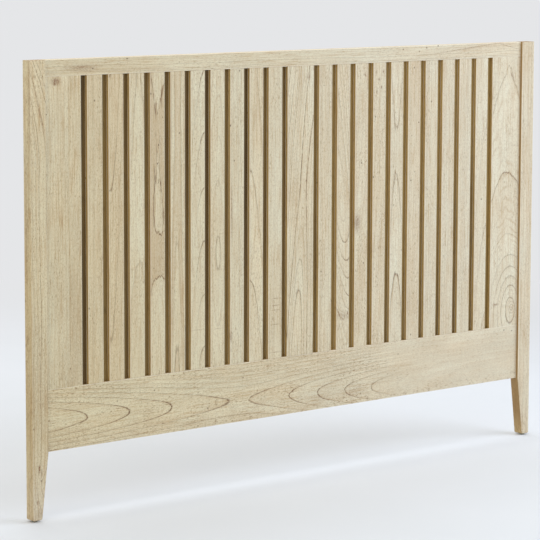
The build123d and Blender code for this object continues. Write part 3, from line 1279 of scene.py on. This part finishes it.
# %% Steel finish
steel_light = colour(196, 198, 202)
steel_cloud = colour(160, 160, 152)
steel_clouds = (420.0, 420.0, 420.0)  # in a metre along each axis
steel_scratches = (1800.0, 1800.0, 9000.0)
steel_scratch_height = 0.02 * millimetre


def steel_finish():
    """Zinc plate: bright metal with soft clouds and fine scratches."""
    material, maker = new_material("zinc_steel")
    place = maker.place()
    cloud = maker.noise(maker.stretch(place, steel_clouds), 4.0, 0.6)
    scratch = maker.noise(maker.stretch(place, steel_scratches), 2.0, 0.6)
    maker.surface(
        maker.mix(cloud.between(0.35, 0.65), steel_light, steel_cloud),
        cloud * 0.25 + scratch * 0.2 + 0.12, scratch,
        relief_strength=0.3, relief_height=steel_scratch_height, all_over={"Metallic": 1.0},
    )
    return material


steel = steel_finish()
nodes["glide_nails"].material_slots[0].material = steel
print("steel is ready")

# %% Screws
screw_sizes = {
    "Head Diameter": 7.0 * millimetre,
    "Shank Diameter": 3.5 * millimetre,
    "Length": 16.0 * millimetre,
    "Tip Length": 3.0 * millimetre,
    "Recess Length": 3.8 * millimetre,
    "Recess Width": 0.9 * millimetre,
    "Recess Depth": 1.3 * millimetre,
    "Rail Spacing": 682.0 * millimetre,
    "Stile Spacing": 1364.0 * millimetre,
    "Back": 12.0 * millimetre,
    "Lower Height": 309.0 * millimetre,
    "Middle Height": 687.5 * millimetre,
    "Upper Height": 1066.0 * millimetre,
    "Seed": 4,
}
side_count = 24
half_turn = math.pi
quarter_turn = half_turn / 2


def one_screw(maker, given):
    """A screw that points up, with a cross cut into its head."""
    head, shank = given["Head Diameter"] / 2, given["Shank Diameter"] / 2
    taper = head - shank
    shank_length = given["Length"] - given["Tip Length"] - taper

    def cone(top, bottom, height, start):
        sockets = {"Vertices": side_count, "Radius Top": top, "Radius Bottom": bottom,
                   "Depth": height}
        shape = maker.node("GeometryNodeMeshCone", {"fill_type": "NONE"}, sockets)
        return moved(maker, shape, maker.vector(0, 0, start))

    face = maker.node(
        "GeometryNodeMeshCircle", {"fill_type": "NGON"}, {"Vertices": side_count, "Radius": head}
    )
    face = maker.node("GeometryNodeFlipFaces", None, {"Mesh": geometry(face)})
    point_start = given["Length"] - given["Tip Length"]
    body = merged(maker, joined(maker, [
        face,
        cone(shank, head, taper, 0.0),
        cone(shank, shank, shank_length, taper),
        cone(0.0, shank, given["Tip Length"], point_start),
    ]))
    screw = maker.node("GeometryNodeMeshBoolean", {"operation": "DIFFERENCE"},
                       {"Mesh 1": geometry(body)})
    for angle in (0, quarter_turn):
        size = maker.vector(given["Recess Length"], given["Recess Width"],
                            given["Recess Depth"] * 2)
        bar = maker.node("GeometryNodeMeshCube", None, {"Size": size})
        cut = moved(maker, bar, rotation=(0, 0, angle))
        maker.tree.links.new(geometry(cut), find_socket(screw.inputs, "Mesh 2"))
    return screw


def screw_recipe():
    """The screw in its six places, each turned by chance."""
    maker, given = new_group("cross_recessed_screws", "GeometryNodeTree", screw_sizes,
                             {"Geometry": "NodeSocketGeometry"})
    screw = one_screw(maker, given)

    def row(spacing, height):
        start = maker.vector(spacing * -0.5, given["Back"], height)
        sockets = {"Count": 2, "Start Location": start, "Offset": maker.vector(spacing, 0, 0)}
        return maker.node("GeometryNodeMeshLine", {"mode": "OFFSET"}, sockets)

    places = joined(maker, [
        row(given["Rail Spacing"], given["Lower Height"]),
        row(given["Rail Spacing"], given["Upper Height"]),
        row(given["Stile Spacing"], given["Middle Height"]),
    ])
    turn = maker.node(
        "FunctionNodeRandomValue", {"data_type": "FLOAT"},
        {"Min": 0.0, "Max": half_turn, "Seed": given["Seed"]},
    )
    turn = Number(maker, find_socket(turn.outputs, "Value"))
    turned = maker.node(
        "FunctionNodeEulerToRotation", None, {"Euler": maker.vector(quarter_turn, 0, 0)}
    )
    spun = maker.node("FunctionNodeEulerToRotation", None, {"Euler": maker.vector(0, 0, turn)})
    both = maker.node(
        "FunctionNodeRotateRotation", {"rotation_space": "LOCAL"},
        {"Rotation": turned.outputs[0], "Rotate By": spun.outputs[0]},
    )
    placed = maker.node(
        "GeometryNodeInstanceOnPoints", None,
        {"Points": geometry(places), "Instance": geometry(screw), "Rotation": both.outputs[0]},
    )
    close_recipe(maker, placed, steel)
    return maker


screws = follow_recipe(screw_recipe(), "cross_recessed_screws", screw_sizes)
stand_for(screws, ["board_screws"])

# %% [markdown]
# ## Glides
#
# Under each foot a nail-on glide of tough plastic keeps the end grain off the floor. It is a
# turned shape: a flat middle that touches the floor and a rim that curves up from it. Floors
# leave fine scratches on the flat and grey dust round the rim. One outline turned round an
# axis makes it. Spin does that in a single step, but hands its corners back in another order
# on each run. So a loop writes them ring by ring, and the order of a face's corners says
# which side of it is outside.

# %% Plastic finish
plastic_pale = colour(172, 176, 164)
plastic_dull = colour(138, 142, 132)
dust = colour(104, 100, 92)
plastic_clouds = (260.0, 260.0, 260.0)  # in a metre along each axis
plastic_scratches = (900.0, 4500.0, 900.0)
plastic_relief = 0.05 * millimetre
scratched_up_to = 0.1 * millimetre
scratches_end = 0.6 * millimetre
dust_start = 1.0 * millimetre
dust_full = 2.5 * millimetre
light_depth = 2.0 * millimetre  # how far light goes into the plastic


def plastic_finish():
    """Dull translucent plastic, scratched below and dusty on the rim."""
    material, maker = new_material("glide_plastic")
    place = maker.place()
    height = maker.axes(place)[2]
    cloud = maker.noise(maker.stretch(place, plastic_clouds), 4.0, 0.6)
    scratch = maker.noise(maker.stretch(place, plastic_scratches), 2.0, 0.6)
    scratch = scratch * (1 - height.between(scratched_up_to, scratches_end))
    dirty = height.between(dust_start, dust_full) * cloud.between(0.45, 0.65)
    shade = maker.mix(cloud, plastic_pale, plastic_dull)
    shade = maker.mix(dirty * 0.6, shade, dust)
    maker.surface(
        shade, cloud * 0.15 + scratch * 0.3 + 0.3, scratch + cloud,
        relief_strength=0.4, relief_height=plastic_relief,
        all_over={"Subsurface Weight": 0.2, "Subsurface Scale": light_depth},
    )
    return material


plastic = plastic_finish()
print("plastic is ready")

# %% Glides
glide_radius = 7.5 * millimetre
glide_flat_radius = 4.75 * millimetre
glide_height = 4.0 * millimetre
glide_turn_height = 2.4 * millimetre
rim_step_count = 9
glide_step_count = 48
rim_ease = 0.3 * millimetre


def glide_profile():
    """Half the outline of a glide, from the middle of its flat to the middle of its top."""
    points = [Vector((0, 0, 0))]
    for step in range(rim_step_count + 1):
        angle = quarter_turn * step / rim_step_count
        radius = glide_flat_radius + (glide_radius - glide_flat_radius) * math.sin(angle)
        points.append(Vector((radius, 0, glide_turn_height * (1 - math.cos(angle)))))
    points.append(Vector((glide_radius, 0, glide_height - rim_ease)))
    points.append(Vector((glide_radius - rim_ease, 0, glide_height)))
    points.append(Vector((0, 0, glide_height)))
    return points


def turned(profile, step_count):
    """Turn an outline round the upright axis, ring by ring. The ends are on the axis."""
    shape = bmesh.new()
    turns = [Matrix.Rotation(2 * half_turn * step / step_count, 3, "Z")
             for step in range(step_count)]
    rings = [[shape.verts.new(turn @ point) for turn in turns] for point in profile[1:-1]]
    rings.insert(0, [shape.verts.new(profile[0])] * step_count)
    rings.append([shape.verts.new(profile[-1])] * step_count)
    for lower, upper in zip(rings, rings[1:]):
        for step in range(step_count):
            corners = (lower[step - 1], lower[step], upper[step], upper[step - 1])
            shape.faces.new(list(dict.fromkeys(corners)))  # three of them at the axis
    return shape


def make_glide(side):
    """Turn a glide and put it where the CAD glide is."""
    low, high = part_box(f"{side}_glide")
    middle = (low + high) / 2
    shape = turned(glide_profile(), glide_step_count)
    bmesh.ops.translate(shape, verts=shape.verts, vec=(middle.x, middle.y, 0))
    for face in shape.faces:
        face.smooth = True
    mesh = bpy.data.meshes.new(f"{side}_turned_glide")
    shape.to_mesh(mesh)
    shape.free()
    mesh.materials.append(plastic)
    piece = bpy.data.objects.new(mesh.name, mesh)
    bpy.context.scene.collection.objects.link(piece)
    stand_for(piece, [f"{side}_glide"])


for side in ("left", "right"):
    make_glide(side)
